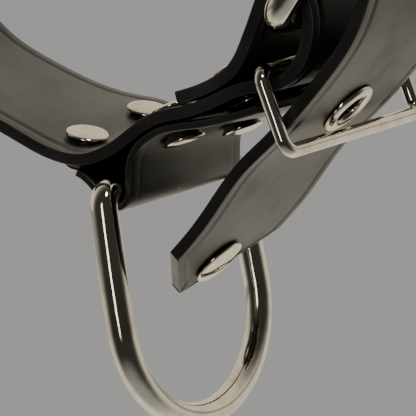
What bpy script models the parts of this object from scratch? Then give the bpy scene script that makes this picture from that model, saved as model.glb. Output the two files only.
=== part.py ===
"""Heavy rubber buckle belt, hung up as a closed loop, with a D-ring held in a riveted saddle.

Run with: blender --background --python part.py
Units are metres, +Z is up. The origin is where the loop hangs: the middle of its inner face at the top.
X runs along the belt, Y across its width. Profiles are drawn in the X-Z plane in millimetres from the
D-ring's bar, which is the lowest fixed point of the loop, and are then moved so that the hanging point
is the origin.
"""

from collections import namedtuple
from math import cos, pi, radians, sin

import bmesh
import bpy
import numpy as np
from mathutils import Matrix, Vector

# Strap
MM = 0.001
GAP = 0.3 * MM
STRAP_WIDTH = 46.0 * MM
STRAP_THICKNESS = 2.8 * MM
STRAP_EDGE = 0.35 * MM
BEND_STEP = 2.2 * MM
LONG_STEP = 15.0 * MM
SEARCH_STEP = 0.05 * MM

# Saddle that holds the D-ring's bar
SADDLE_THICKNESS = 1.8 * MM
SADDLE_GAP = 0.5 * MM
SADDLE_TAB_HALF_WIDTH = 17.5 * MM
SADDLE_LEFT_X = -18.6
SADDLE_LEFT_TURN_X = -9.0
SADDLE_RIGHT_TURN_X = 10.5
SADDLE_RIGHT_X = 16.5

# D-ring, widest below its bar
RING_WIRE = 6.0 * MM
RING_HALF_WIDTH_TOP = 27.0 * MM
RING_HALF_WIDTH = 28.5 * MM
RING_WIDEST_DEPTH = 30.0 * MM
RING_DEPTH = 54.0 * MM
RING_CORNER = 4.5 * MM

# Keeper ring, a rectangle of wire round the crotch of the fold and the tail
KEEPER_WIRE = 3.0 * MM
KEEPER_NEAR_Y = -25.5 * MM
KEEPER_FAR_Y = 34.0 * MM
KEEPER_CORNER = 3.0 * MM
KEEPER_INNER_BAR = (41.7, 20.0)
KEEPER_OUTER_BAR = (45.0, 3.1)

# Buckle frame and prong
FRAME_WIRE = 6.0 * MM
FRAME_HALF_WIDTH = 28.0 * MM
FRAME_LENGTH = 44.0 * MM
FRAME_CORNER = 5.0 * MM
FRAME_HEEL = (48.2, 29.4)
FRAME_ANGLE = 45.0
PRONG_WIRE = 3.0 * MM
PRONG_SLOT_WIDTH = 8.0 * MM
PRONG_SLOT_CENTRE = (47.7, 32.2)
PRONG_SLOT_RADIUS = 10.4 * MM

# Rivets, the tail's stud and its eyelets
RIVET_ROW_HALF = 12.0 * MM
RIVET_CAP_RADIUS = 4.75 * MM
RIVET_CAP_HEIGHT = 1.3 * MM
RIVET_SHANK_RADIUS = 1.8 * MM
SEAT_EASE = 0.7 * MM
STUD_CAP_RADIUS = 6.2 * MM
STUD_CAP_HEIGHT = 1.6 * MM
EYELET_RADIUS = 6.5 * MM
EYELET_HOLE_RADIUS = 3.4 * MM
EYELET_BARREL_RADIUS = 4.2 * MM
EYELET_HEIGHT = 1.0 * MM
EYELET_PITCH = 48.0 * MM
STUD_TO_TIP = 9.9 * MM
ROUND_SIDES = 16
WIRE_SIDES = 14
CUTTER_TWIST = 0.09

# Tail end, trimmed to a point that lies a little to the near side
TAIL_NEAR_LENGTH = 16.0 * MM
TAIL_FAR_LENGTH = 14.0 * MM
TAIL_POINT_Y = -5.0 * MM
TAIL_POINT_WIDTH = 1.5 * MM

Station = namedtuple("Station", "name x z lift")

# The strap's middle line from its folded-back end, over the fold, along the belt's inner and
# outer sides, round the loop and back through the buckle to the tail's tip. Lift is how much
# higher the far edge lies than the near one.
STRAP_ROUTE = [
    Station("fold end", 20.0, 15.95, -2.2),
    Station("fold flat", 25.6, 16.85, -1.9),
    Station("fold lift", 30.4, 18.4, -1.5),
    Station("fold rise", 33.8, 20.3, -1.0),
    Station("fold turn", 36.4, 22.95, -0.5),
    Station("fold side", 38.6, 26.2, 0.0),
    Station("fold side up", 41.0, 29.8, 0.0),
    Station("fold shoulder", 43.0, 33.0, 0.0),
    Station("fold crown", 45.3, 35.9, 0.0),
    Station("fold top", 48.4, 37.1, 0.0),
    Station("fold back", 51.4, 35.8, 0.0),
    Station("heel side", 53.1, 32.6, 0.0),
    Station("heel low", 53.4, 28.6, 0.0),
    Station("bend high", 52.3, 24.4, 0.0),
    Station("bend", 50.1, 20.7, 0.0),
    Station("bend low", 46.9, 18.0, 0.0),
    Station("under keeper", 42.9, 16.7, 0.0),
    Station("run right", 38.5, 16.7, -0.4),
    Station("run left", 34.5, 16.3, -0.8),
    Station("run rivets", 30.2, 15.05, -1.3),
    Station("run middle", 25.2, 13.6, -1.8),
    Station("run under end", 19.8, 12.8, -2.2),
    Station("right rivets", 13.9, 12.35, -2.2),
    Station("right flank", 8.9, 11.15, -1.2),
    Station("over bar", 3.2, 9.25, 0.4),
    Station("dip right", -2.5, 8.4, 2.2),
    Station("dip", -6.5, 8.7, 3.6),
    Station("left rivets", -10.5, 9.9, 4.6),
    Station("left flank", -15.3, 12.05, 4.7),
    Station("left rise", -20.2, 14.3, 3.0),
    Station("left run", -26.6, 17.5, 1.0),
    Station("left middle", -35.4, 22.5, 0.0),
    Station("left far", -44.2, 28.0, 0.0),
    Station("left turn", -51.6, 33.6, 0.0),
    Station("left up", -57.0, 39.6, 0.0),
    Station("loop left low", -71.0, 59.0, 0.0),
    Station("loop left", -87.0, 88.0, 0.0),
    Station("loop left side", -99.0, 121.0, 0.0),
    Station("loop left wide", -105.0, 157.0, 0.0),
    Station("loop left high", -101.0, 196.0, 0.0),
    Station("loop left top", -86.0, 232.0, 0.0),
    Station("loop top left", -59.0, 261.0, 0.0),
    Station("loop top near", -25.0, 278.5, 0.0),
    Station("loop top", 11.0, 284.0, 0.0),
    Station("loop top far", 46.0, 277.0, 0.0),
    Station("loop top right", 77.0, 257.0, 0.0),
    Station("loop right top", 99.0, 227.0, 0.0),
    Station("loop right high", 108.0, 191.0, 0.0),
    Station("loop right wide", 106.0, 154.0, 0.0),
    Station("loop right side", 96.5, 121.0, 0.0),
    Station("loop right", 84.5, 93.0, 0.0),
    Station("above frame", 75.5, 71.5, 0.0),
    Station("outer bar", 72.1, 60.5, 0.0),
    Station("prong hole", 70.9, 48.0, 0.0),
    Station("tail high", 69.3, 38.2, 0.0),
    Station("tail upper", 65.9, 30.0, 0.0),
    Station("tail bend", 61.3, 23.2, 0.0),
    Station("tail run", 55.2, 17.4, 0.0),
    Station("tail eyelet", 45.6, 9.8, 0.0),
    Station("tail middle", 39.6, 5.6, 0.0),
    Station("tail straight", 32.2, 0.9, 0.0),
    Station("tail low", 25.9, -4.5, 0.0),
    Station("tail last", 19.2, -10.6, 0.0),
    Station("tail corner", 12.1, -16.0, 0.0),
    Station("tail tip", -0.3, -25.2, 0.0),
]

Bend = namedtuple("Bend", "x z")

RivetRow = namedtuple("RivetRow", "station shift inner_ease outer_ease")

# The saddle's rivets: how far past its station each row lies, and how far its caps stand off the faces,
# which are hollow or twisted there, beyond the usual gap
SADDLE_RIVET_ROWS = [
    RivetRow("left rivets", 1.3 * MM, 0.5 * MM, 0.15 * MM),
    RivetRow("right rivets", 1.8 * MM, 0.2 * MM, 0.9 * MM),
]

# The saddle's middle line where it leaves the strap and wraps the bar
SADDLE_BEND_LEFT = [Station("left high", -7.3, 5.1, 3.6), Station("left low", -5.4, 2.5, 1.9)]
SADDLE_BEND_RIGHT = [Station("right low", 4.7, 2.4, 0.0), Station("right middle", 5.8, 5.3, -0.2),
                     Station("right high", 7.7, 7.3, -0.9)]

# The saddle's free end, which leaves the strap's underside past its right rivets
SADDLE_FREE_END = [Station("free low", 21.7, 9.9, -2.1), Station("free flat", 25.9, 10.05, -1.9),
                   Station("free middle", 29.6, 10.5, -1.6), Station("free high", 34.5, 11.3, -0.9),
                   Station("free tip", 38.7, 12.1, -0.5)]

# The prong's middle line after its turns round the heel bar
PRONG_ROUTE = [Bend(53.5, 37.0), Bend(59.3, 41.6), Bend(64.6, 45.9), Bend(70.9, 47.9), Bend(76.8, 49.7),
               Bend(81.0, 53.8), Bend(83.4, 58.4), Bend(84.8, 62.4)]

Finish = namedtuple("Finish", "name colour roughness metallic")
RUBBER = Finish("black_rubber", (0.022, 0.021, 0.020, 1.0), 0.42, 0.0)
NICKEL = Finish("nickel_steel", (0.72, 0.68, 0.60, 1.0), 0.18, 1.0)


def clear_scene():
    """Remove every object, so that only the belt is left."""
    for item in list(bpy.data.objects):
        bpy.data.objects.remove(item, do_unlink=True)


def make_material(finish):
    """A plain surface of one colour."""
    material = bpy.data.materials.new(finish.name)
    material.use_nodes = True
    shader = material.node_tree.nodes["Principled BSDF"]
    shader.inputs["Base Color"].default_value = finish.colour
    shader.inputs["Roughness"].default_value = finish.roughness
    shader.inputs["Metallic"].default_value = finish.metallic
    return material


def smooth_curve(points, step_short, step_long, tight=0.020):
    """Points along a smooth curve through the given ones, closer together where it bends.

    It is a cubic through the points over their chord lengths, sampled finely, then thinned so that
    neighbours are step_short apart in bends of a radius under four times tight, and up to step_long
    apart where the curve is straight.
    """
    points = np.asarray(points, float)
    chord = np.linalg.norm(np.diff(points[:, :2], axis=0), axis=1)
    knots = np.concatenate([[0.0], np.cumsum(chord)])
    slopes = natural_slopes(knots, points)
    fine = []
    for i in range(len(points) - 1):
        span = knots[i + 1] - knots[i]
        count = max(4, int(span / 0.0003))
        t = np.linspace(0, 1, count, endpoint=False)[:, None]
        fine.append(hermite(points[i], points[i + 1], slopes[i] * span, slopes[i + 1] * span, t))
    fine.append(points[-1:])
    fine = np.concatenate(fine)
    length = np.concatenate([[0.0], np.cumsum(np.linalg.norm(np.diff(fine[:, :2], axis=0), axis=1))])
    bend = np.zeros(len(fine))
    for rise in (fine[:, 1], fine[:, 1] - fine[:, 2] / 2):
        heading = np.unwrap(np.arctan2(np.gradient(rise), np.gradient(fine[:, 0])))
        bend = np.maximum(bend, np.abs(np.gradient(heading, length)))
    step = np.clip(step_long / (1.0 + bend * tight * 6.0), step_short, step_long)
    count_at = np.concatenate([[0.0], np.cumsum(np.diff(length) / step[:-1])])
    total = max(2, int(np.ceil(count_at[-1])))
    picks = np.interp(np.linspace(0, count_at[-1], total + 1), count_at, np.arange(len(fine)))
    return np.stack([np.interp(picks, np.arange(len(fine)), fine[:, k]) for k in range(fine.shape[1])], 1)


def natural_slopes(knots, points):
    """Slopes of a natural cubic through the points, from the usual three-band equations."""
    count = len(knots)
    system = np.zeros((count, count))
    right = np.zeros_like(points)
    spans = np.diff(knots)
    rises = np.diff(points, axis=0) / spans[:, None]
    system[0, 0], system[0, 1] = 2.0, 1.0
    right[0] = 3.0 * rises[0]
    system[-1, -1], system[-1, -2] = 2.0, 1.0
    right[-1] = 3.0 * rises[-1]
    for i in range(1, count - 1):
        before, after = 1.0 / spans[i - 1], 1.0 / spans[i]
        system[i, i - 1 : i + 2] = before, 2.0 * (before + after), after
        right[i] = 3.0 * (rises[i - 1] * before + rises[i] * after)
    return np.linalg.solve(system, right)


def hermite(start, end, slope_start, slope_end, t):
    """A cubic from start to end with the given slopes."""
    a = 2 * t**3 - 3 * t**2 + 1
    b = t**3 - 2 * t**2 + t
    c = -2 * t**3 + 3 * t**2
    d = t**3 - t**2
    return a * start + b * slope_start + c * end + d * slope_end


class Route:
    """A middle line in the X-Z plane, with the lift of its far edge, and frames along it."""

    def __init__(self, line):
        self.line = line
        self.length = np.concatenate([[0.0], np.cumsum(np.linalg.norm(np.diff(line[:, :2], axis=0), axis=1))])

    @property
    def total(self):
        return self.length[-1]

    def frame(self, s):
        """Middle point, direction, across and normal at the arc length s. The normal points out of the loop."""
        x, z, lift = (np.interp(s, self.length, self.line[:, k]) for k in range(3))
        low, high = max(s - 0.0006, 0.0), min(s + 0.0006, self.total)
        dx, dz = (np.interp(high, self.length, self.line[:, k]) - np.interp(low, self.length, self.line[:, k])
                  for k in range(2))
        along = Vector((dx, 0.0, dz)).normalized()
        across = Vector((0.0, STRAP_WIDTH, lift))
        across = (across - along * across.dot(along)).normalized()
        out = along.cross(across).normalized()
        return Vector((x, 0.0, z)), along, across, out

    def nearest(self, x, z, low=0.0, high=None):
        """The arc length of the point nearest to x, z between two arc lengths."""
        high = self.total if high is None else min(high, self.total)
        tries = np.linspace(low, high, 2 + int((high - low) / SEARCH_STEP))
        gap = np.hypot(np.interp(tries, self.length, self.line[:, 0]) - x,
                       np.interp(tries, self.length, self.line[:, 1]) - z)
        return float(tries[int(np.argmin(gap))])


def strap_route():
    """The strap's route as a smooth curve in metres, and the arc length at each named station."""
    rows = [(row.x * MM, row.z * MM, row.lift * MM) for row in STRAP_ROUTE]
    route = Route(smooth_curve(rows, BEND_STEP, LONG_STEP))
    marks = {}
    low = 0.0
    for row in STRAP_ROUTE:
        low = route.nearest(row.x * MM, row.z * MM, low, low + 0.060)
        marks[row.name] = low
    return route, marks


def band_mesh(name, stations):
    """A closed band from sections: each has a middle, across, out, left and right reach and thickness.

    A section is a flat rectangle with its four long edges cut off, so it has eight corners, and the two
    ends are closed by a face each.
    """
    mesh = bmesh.new()
    rings = []
    for middle, across, out, left, right, thickness in stations:
        half = thickness / 2
        cut = min(STRAP_EDGE, (right - left) / 4)
        corners = [(left, half - cut), (left + cut, half), (right - cut, half), (right, half - cut),
                   (right, cut - half), (right - cut, -half), (left + cut, -half), (left, cut - half)]
        rings.append([mesh.verts.new(middle + across * y + out * n) for y, n in corners])
    for a, b in zip(rings, rings[1:]):
        for k in range(8):
            mesh.faces.new((a[k], a[(k + 1) % 8], b[(k + 1) % 8], b[k]))
    mesh.faces.new(rings[0][::-1])
    mesh.faces.new(rings[-1])
    return finish_mesh(name, mesh)


def finish_mesh(name, mesh):
    """Turn the bmesh's faces outwards and put it in an object."""
    bmesh.ops.recalc_face_normals(mesh, faces=mesh.faces)
    data = bpy.data.meshes.new(name)
    mesh.to_mesh(data)
    mesh.free()
    item = bpy.data.objects.new(name, data)
    bpy.context.collection.objects.link(item)
    return item


def dress(item, material, angle=35.0):
    """Give an object its material and smooth its round faces."""
    item.data.materials.append(material)
    item.data.shade_smooth()
    item.data.set_sharp_from_angle(angle=radians(angle))


def wire_loop(name, points, radius, normal_hint, closed=True, sides=WIRE_SIDES):
    """A round wire along flat points, closed on itself or with flat ends."""
    mesh = bmesh.new()
    count = len(points)
    rings = []
    hint = Vector(normal_hint).normalized()
    for i, point in enumerate(points):
        if closed:
            along = (points[(i + 1) % count] - points[i - 1]).normalized()
        else:
            along = (points[min(i + 1, count - 1)] - points[max(i - 1, 0)]).normalized()
        side = along.cross(hint).normalized()
        rings.append([mesh.verts.new(point + (side * cos(a) + hint * sin(a)) * radius)
                      for a in (2 * pi * (k + 0.5) / sides for k in range(sides))])
    spans = range(count) if closed else range(count - 1)
    for i in spans:
        a, b = rings[i], rings[(i + 1) % count]
        for k in range(sides):
            mesh.faces.new((a[k], a[(k + 1) % sides], b[(k + 1) % sides], b[k]))
    if not closed:
        mesh.faces.new(rings[0][::-1])
        mesh.faces.new(rings[-1])
    return finish_mesh(name, mesh)


def turned(name, profile, origin, axis, sides=ROUND_SIDES, twist=0.0):
    """A solid turned round an axis from (radius, height) pairs; a radius of zero closes it.

    Twist is the angle of its first corner.
    """
    mesh = bmesh.new()
    spin = Vector((0, 0, 1)).rotation_difference(Vector(axis)).to_matrix()
    rings = []
    for radius, height in profile:
        if radius == 0.0:
            rings.append([mesh.verts.new(origin + spin @ Vector((0, 0, height)))])
            continue
        rings.append([mesh.verts.new(origin + spin @ Vector((radius * cos(a), radius * sin(a), height)))
                      for a in (twist + 2 * pi * k / sides for k in range(sides))])
    pairs = list(zip(rings, rings[1:]))
    if len(rings[0]) > 1:
        pairs.append((rings[-1], rings[0]))
    for a, b in pairs:
        for k in range(sides):
            j = (k + 1) % sides
            corners = [a[k % len(a)], a[j % len(a)], b[j % len(b)], b[k % len(b)]]
            mesh.faces.new(list(dict.fromkeys(corners)))
    return finish_mesh(name, mesh)


def cutter(name, origin, axis, radius, half_length, sides=ROUND_SIDES):
    """A hidden cylinder that cuts a hole."""
    profile = [(0.0, -half_length), (radius, -half_length), (radius, half_length), (0.0, half_length)]
    item = turned(name, profile, origin, axis, sides, CUTTER_TWIST)
    item.hide_render = True
    item.display_type = "WIRE"
    return item


def cut(item, tools):
    """Subtract each tool from the object."""
    for tool in tools:
        modifier = item.modifiers.new("cut " + tool.name, "BOOLEAN")
        modifier.operation = "DIFFERENCE"
        modifier.solver = "EXACT"
        modifier.object = tool


def arc(centre, radius, start, end, count, plane):
    """Points on an arc. The plane gives the two directions in which the angle is measured."""
    first, second = plane
    steps = [radians(start + (end - start) * k / (count - 1)) for k in range(count)]
    return [centre + (first * cos(a) + second * sin(a)) * radius for a in steps]


def build_strap(route, material):
    """The strap: one band whose tail is trimmed to a narrow tip over its last stretch."""
    half = STRAP_WIDTH / 2
    stops = sorted(set(route.length) | {route.total - TAIL_NEAR_LENGTH, route.total - TAIL_FAR_LENGTH})
    stations = []
    for s in stops:
        middle, _, across, out = route.frame(s)
        near_share = min(1.0, max(0.0, (s - route.total + TAIL_NEAR_LENGTH) / TAIL_NEAR_LENGTH))
        far_share = min(1.0, max(0.0, (s - route.total + TAIL_FAR_LENGTH) / TAIL_FAR_LENGTH))
        near = -half + (half + TAIL_POINT_Y) * near_share
        far = half - (half - TAIL_POINT_Y - TAIL_POINT_WIDTH) * far_share
        stations.append((middle, across, out, near, far, STRAP_THICKNESS))
    strap = band_mesh("strap", stations)
    dress(strap, material)
    return strap


def saddle_line(route, marks):
    """The saddle's middle line: under the strap, round the D-ring's bar, back under it and to its free end."""
    drop = STRAP_THICKNESS / 2 + SADDLE_GAP + SADDLE_THICKNESS / 2
    low, high = marks["run right"], marks["left middle"]

    def under(x):
        window = (route.length >= low) & (route.length <= high)
        s = float(np.interp(-x * MM, -route.line[window, 0], route.length[window]))
        middle, _, _, out = route.frame(s)
        lift = np.interp(s, route.length, route.line[:, 2])
        flat = Vector((out.x, 0.0, out.z)).normalized()
        place = middle + flat * drop
        return place.x, place.z, lift

    left = [under(x) for x in np.linspace(SADDLE_LEFT_X, SADDLE_LEFT_TURN_X, 6)]
    right = [under(x) for x in np.linspace(SADDLE_RIGHT_TURN_X, SADDLE_RIGHT_X, 4)]
    wrap = RING_WIRE / 2 + GAP + SADDLE_THICKNESS / 2
    bottom = [(wrap * cos(a), wrap * sin(a), 0.0) for a in (radians(d) for d in (180, 225, 270, 315, 360))]
    lead, away, free = ([(row.x * MM, row.z * MM, row.lift * MM) for row in rows]
                        for rows in (SADDLE_BEND_LEFT, SADDLE_BEND_RIGHT, SADDLE_FREE_END))
    return Route(smooth_curve(left + lead + bottom + away + right + free, 1.2 * MM, 4.0 * MM))


def build_saddle(line, material):
    """The saddle: a short band, narrower where its left tab is riveted under the strap."""
    half = STRAP_WIDTH / 2
    tab_end = line.nearest(SADDLE_LEFT_TURN_X * MM, 5.0 * MM, 0.0, line.total / 2)
    stations = []
    for s in line.length:
        middle, _, across, out = line.frame(s)
        share = min(1.0, max(0.0, (s - tab_end + 1.0 * MM) / (2.5 * MM)))
        reach = SADDLE_TAB_HALF_WIDTH + (half - SADDLE_TAB_HALF_WIDTH) * share
        stations.append((middle, across, out, -reach, reach, SADDLE_THICKNESS))
    saddle = band_mesh("ring_saddle", stations)
    dress(saddle, material)
    return saddle


def build_d_ring(material):
    """The D-ring: a straight bar on the Y axis, tight corners, bowed legs and a round foot."""
    across, down = Vector((0, 1, 0)), Vector((0, 0, -1))
    corner = Vector((0, RING_HALF_WIDTH_TOP - RING_CORNER, -RING_CORNER))
    bar = [Vector((0, y, 0)) for y in np.linspace(0, corner.y, 4)[:-1]]
    bend = arc(corner, RING_CORNER, -90, 0, 7, (across, down))
    side = []
    for share in np.linspace(0, 1, 6)[1:-1]:
        depth = RING_CORNER + (RING_WIDEST_DEPTH - RING_CORNER) * share
        bow = RING_HALF_WIDTH_TOP + (RING_HALF_WIDTH - RING_HALF_WIDTH_TOP) * sin(share * pi / 2)
        side.append(Vector((0, bow, -depth)))
    foot = []
    for angle in np.linspace(0, pi / 2, 13):
        depth = RING_WIDEST_DEPTH + (RING_DEPTH - RING_WIDEST_DEPTH) * sin(angle)
        foot.append(Vector((0, RING_HALF_WIDTH * cos(angle), -depth)))
    half = bar + bend + side + foot
    mirrored = [Vector((p.x, -p.y, p.z)) for p in half[1:-1]][::-1]
    ring = wire_loop("d_ring", half + mirrored, RING_WIRE / 2, (1, 0, 0))
    dress(ring, material, 60)
    return ring


def rounded_rectangle(start, end, half_width, corner, count=6):
    """Points of a rectangle with round corners that stands on two bars along Y, from start to end."""
    along = (end - start).normalized()
    across = Vector((0, 1, 0))
    points = []
    for base, sign_along, sign_across, first in ((start, 1, 1, 180), (end, -1, 1, 90),
                                                 (end, -1, -1, 0), (start, 1, -1, 270)):
        centre = base + along * corner * sign_along + across * (half_width - corner) * sign_across
        turn = {180: (180, 90), 90: (90, 0), 0: (0, -90), 270: (270, 180)}[first]
        points += arc(centre, corner, *turn, count, (along, across))
    return points


def build_keeper(material):
    """The keeper ring: wire round the crotch of the fold on its inner bar and the tail on its outer bar."""
    middle_y = (KEEPER_NEAR_Y + KEEPER_FAR_Y) / 2
    start = Vector((KEEPER_INNER_BAR[0] * MM, middle_y, KEEPER_INNER_BAR[1] * MM))
    end = Vector((KEEPER_OUTER_BAR[0] * MM, middle_y, KEEPER_OUTER_BAR[1] * MM))
    points = rounded_rectangle(start, end, (KEEPER_FAR_Y - KEEPER_NEAR_Y) / 2, KEEPER_CORNER)
    normal = (end - start).normalized().cross(Vector((0, 1, 0)))
    keeper = wire_loop("keeper_ring", points, KEEPER_WIRE / 2, normal, sides=12)
    dress(keeper, material, 60)
    return keeper


def build_frame(material):
    """The buckle's frame: a rectangle of wire from its heel bar in the fold to its outer bar."""
    start = Vector((FRAME_HEEL[0] * MM, 0, FRAME_HEEL[1] * MM))
    slope = Vector((cos(radians(FRAME_ANGLE)), 0, sin(radians(FRAME_ANGLE))))
    points = rounded_rectangle(start, start + slope * FRAME_LENGTH, FRAME_HALF_WIDTH, FRAME_CORNER, 7)
    frame = wire_loop("buckle_frame", points, FRAME_WIRE / 2, slope.cross(Vector((0, 1, 0))))
    dress(frame, material, 60)
    return frame


def build_prong(material):
    """The prong: wire hooked round the heel bar, through the strap's eyelet and onto the outer bar."""
    heel = Vector((FRAME_HEEL[0] * MM, 0, FRAME_HEEL[1] * MM))
    wrap = FRAME_WIRE / 2 + GAP + PRONG_WIRE / 2
    hook = [heel + Vector((cos(a), 0, sin(a))) * wrap for a in (radians(d) for d in range(350, 99, -25))]
    line = [(p.x, p.z, 0.0) for p in hook] + [(row.x * MM, row.z * MM, 0.0) for row in PRONG_ROUTE]
    curve = smooth_curve(line, 1.2 * MM, 3.0 * MM)
    points = [Vector((x, 0, z)) for x, z, _ in curve]
    prong = wire_loop("buckle_prong", points, PRONG_WIRE / 2, (0, 1, 0), closed=False, sides=12)
    dress(prong, material, 60)
    return prong


def cap_profile(radius, height, low_seat, high_seat, shank):
    """Two domed caps joined by a shank, as (radius, height) pairs from the lower pole to the upper one."""
    rim = 0.35 * height
    lower = [(0.0, low_seat - height), (0.55 * radius, low_seat - 0.86 * height), (0.88 * radius, low_seat - rim),
             (radius, low_seat - 0.15 * height), (radius, low_seat), (shank, low_seat)]
    upper = [(shank, high_seat), (radius, high_seat), (radius, high_seat + 0.15 * height),
             (0.88 * radius, high_seat + rim), (0.55 * radius, high_seat + 0.86 * height), (0.0, high_seat + height)]
    return lower + upper


def eyelet_profile(low_seat, high_seat):
    """A flanged barrel with a hole, as (radius, height) pairs round its wall."""
    hole, barrel, wide, tall = EYELET_HOLE_RADIUS, EYELET_BARREL_RADIUS, EYELET_RADIUS, EYELET_HEIGHT
    back = 0.6 * tall
    return [(hole, low_seat - 0.5 * back), (hole + 0.4 * MM, low_seat - back), (0.82 * wide, low_seat - back),
            (0.86 * wide, low_seat), (barrel, low_seat), (barrel, high_seat), (wide, high_seat),
            (0.96 * wide, high_seat + 0.5 * tall), (0.8 * wide, high_seat + tall),
            (hole + 0.8 * MM, high_seat + 0.9 * tall), (hole, high_seat + 0.4 * tall)]


def fasten(name, route, s, y, low, high, profile_maker, shank, through, material):
    """Place a rivet or eyelet at arc length s and width y, and return it with the holes it needs.

    Low and high are the seats' heights along the strap's outward normal. Through lists the objects that it
    passes, which get a hole a gap wider than its shank.
    """
    middle, _, across, out = route.frame(s)
    origin = middle + across * y
    item = turned(name, profile_maker(low - GAP, high + GAP), origin, out)
    dress(item, material, 50)
    tool = cutter(name + "_hole", origin + out * (low + high) / 2, out, shank + GAP, (high - low) / 2 + 1.2 * MM)
    for piece in through:
        cut(piece, [tool])
    return item


def build_fasteners(route, marks, strap, saddle, material):
    """Every rivet, the tail's stud and the eyelets, with their holes."""
    half = STRAP_THICKNESS / 2
    with_saddle = half + SADDLE_GAP + SADDLE_THICKNESS

    def rivet(low, high):
        return cap_profile(RIVET_CAP_RADIUS, RIVET_CAP_HEIGHT, low, high, RIVET_SHANK_RADIUS)

    def stud(low, high):
        return cap_profile(STUD_CAP_RADIUS, STUD_CAP_HEIGHT, low, high, RIVET_SHANK_RADIUS)

    number = 1
    for row in SADDLE_RIVET_ROWS:
        low, high = -half - row.inner_ease, with_saddle + row.outer_ease
        for side in (-1, 1):
            fasten(f"saddle_rivet_{number}", route, marks[row.station] + row.shift, side * RIVET_ROW_HALF,
                   low, high, rivet, RIVET_SHANK_RADIUS, (strap, saddle), material)
            number += 1
    run = marks["run rivets"]
    middle, _, _, out = route.frame(run)
    over = route.nearest(middle.x, middle.z + STRAP_THICKNESS + GAP, 0.0, marks["fold side"])
    upper, _, _, _ = route.frame(over)
    rise = (upper - middle).dot(-out) + half + SEAT_EASE
    for number, side in enumerate((-1, 1), 1):
        fasten(f"fold_rivet_{number}", route, run, side * RIVET_ROW_HALF, -rise, half, rivet,
               RIVET_SHANK_RADIUS, (strap,), material)
    stud_at = route.total - STUD_TO_TIP
    fasten("tail_stud", route, stud_at, 0.0, -half, half, stud, RIVET_SHANK_RADIUS, (strap,), material)
    for number in (1, 2):
        fasten(f"tail_eyelet_{number}", route, stud_at - EYELET_PITCH * number, 0.0, -half, half,
               eyelet_profile, EYELET_BARREL_RADIUS, (strap,), material)


def hang(marks, route):
    """Move everything so that the middle of the loop's inner face at its top is the origin."""
    top, _, _, out = route.frame(marks["loop top"])
    inner = top - out * STRAP_THICKNESS / 2
    shift = Matrix.Translation(-inner)
    for item in bpy.data.objects:
        item.data.transform(shift)
    ring = bpy.data.objects["d_ring"]
    ring.data.transform(Matrix.Translation(inner))
    ring.location = -inner
    return inner


def main():
    clear_scene()
    rubber = make_material(RUBBER)
    nickel = make_material(NICKEL)
    route, marks = strap_route()
    strap = build_strap(route, rubber)
    saddle = build_saddle(saddle_line(route, marks), rubber)
    build_d_ring(nickel)
    build_keeper(nickel)
    build_frame(nickel)
    build_prong(nickel)
    build_fasteners(route, marks, strap, saddle, nickel)
    slot_centre = Vector((PRONG_SLOT_CENTRE[0] * MM, 0, PRONG_SLOT_CENTRE[1] * MM))
    slot = cutter("prong_slot", slot_centre, (0, 1, 0), PRONG_SLOT_RADIUS, PRONG_SLOT_WIDTH / 2)
    cut(strap, [slot])
    hang(marks, route)


main()
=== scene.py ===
"""Looks of a wide black latex belt that hangs as a buckled loop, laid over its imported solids.

Every length is in metres in the solids' own frame: the loop hangs from its inner face at the top, which is
the origin, X runs along the belt and Y across its width.
"""

import logging
from dataclasses import dataclass, field
from enum import Enum
from math import radians, tau
from typing import Any, NamedTuple

import bpy
import numpy as np
from mathutils import Matrix, Vector


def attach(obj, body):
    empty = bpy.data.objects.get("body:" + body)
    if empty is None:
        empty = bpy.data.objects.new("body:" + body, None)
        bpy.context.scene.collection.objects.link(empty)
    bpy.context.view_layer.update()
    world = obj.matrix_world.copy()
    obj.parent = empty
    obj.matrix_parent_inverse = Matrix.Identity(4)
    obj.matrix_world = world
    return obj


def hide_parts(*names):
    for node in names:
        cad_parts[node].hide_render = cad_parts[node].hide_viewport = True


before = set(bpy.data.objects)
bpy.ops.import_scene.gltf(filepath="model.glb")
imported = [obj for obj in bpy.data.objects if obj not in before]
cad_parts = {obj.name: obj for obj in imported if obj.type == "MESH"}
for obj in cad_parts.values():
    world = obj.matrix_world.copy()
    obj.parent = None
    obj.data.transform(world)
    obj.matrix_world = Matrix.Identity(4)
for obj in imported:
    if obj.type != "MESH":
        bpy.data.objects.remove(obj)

MM = 0.001
FINE_STEP = 0.2 * MM
SEARCH_STEP = 0.05 * MM
GAP = 0.3 * MM
LOG = logging.getLogger("belt")
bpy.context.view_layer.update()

# The D-ring's bar in the solids' frame, from which every profile below is drawn in millimetres
BAR = np.array([-11.0, 0.0, -282.6]) * MM


class Station(NamedTuple):
    """A point of a band's middle line, with how much higher its far edge lies than its near one."""

    x: float
    z: float
    lift: float = 0.0


class Side(Enum):
    """The two sides of a band: the near one faces the photograph's viewer."""

    NEAR = -1
    FAR = 1


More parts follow.
